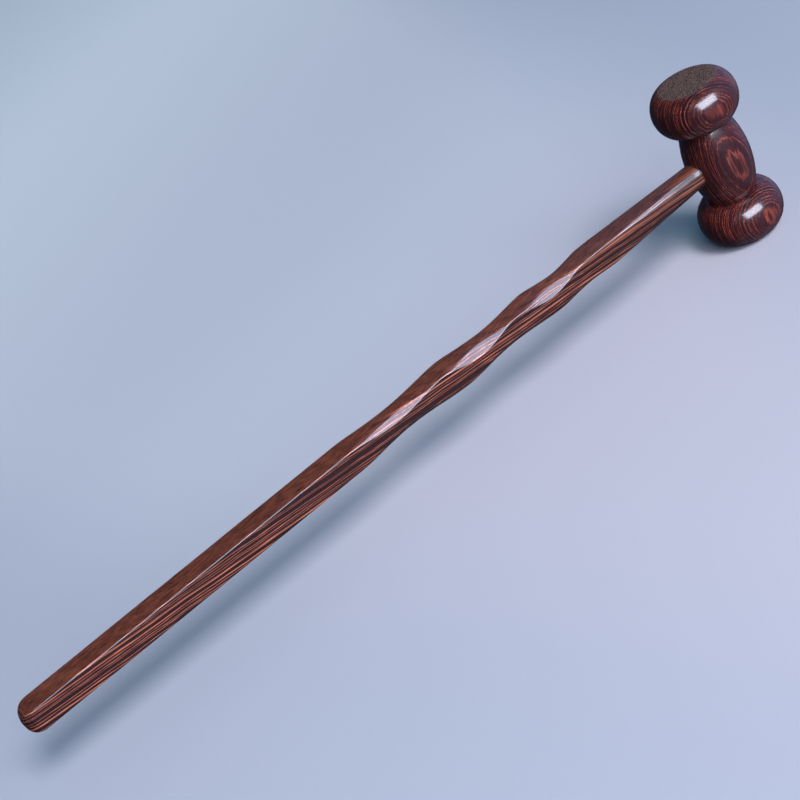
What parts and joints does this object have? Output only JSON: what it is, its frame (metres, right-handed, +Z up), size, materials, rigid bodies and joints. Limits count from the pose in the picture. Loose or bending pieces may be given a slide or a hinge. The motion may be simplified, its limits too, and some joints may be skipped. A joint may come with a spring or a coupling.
{
  "type": "dumbbell tapping hammer",
  "caption": "Tapping hammer: a dumbbell-shaped wooden head with flat striking faces and an oval barrel, on a long handle with scalloped corners and a round neck glued into the barrel.",
  "frame": {"origin": "centre of the lower striking face", "axes": "+Z up the head's turning axis to the upper striking face, -X along the handle from the head to the grip end, Y across the handle"},
  "size_m": [0.43, 0.042, 0.086],
  "materials": {
    "head_wood": "satin lacquer over dark wenge, grain along Z",
    "handle_wood": "satin lacquer over striped wenge, grain along X",
    "cured_glue": "satin, hidden in the joint"
  },
  "bodies": {
    "root": {"head": "head_wood", "handle": "handle_wood", "glue_film": "cured_glue"}
  },
  "joints": []
}
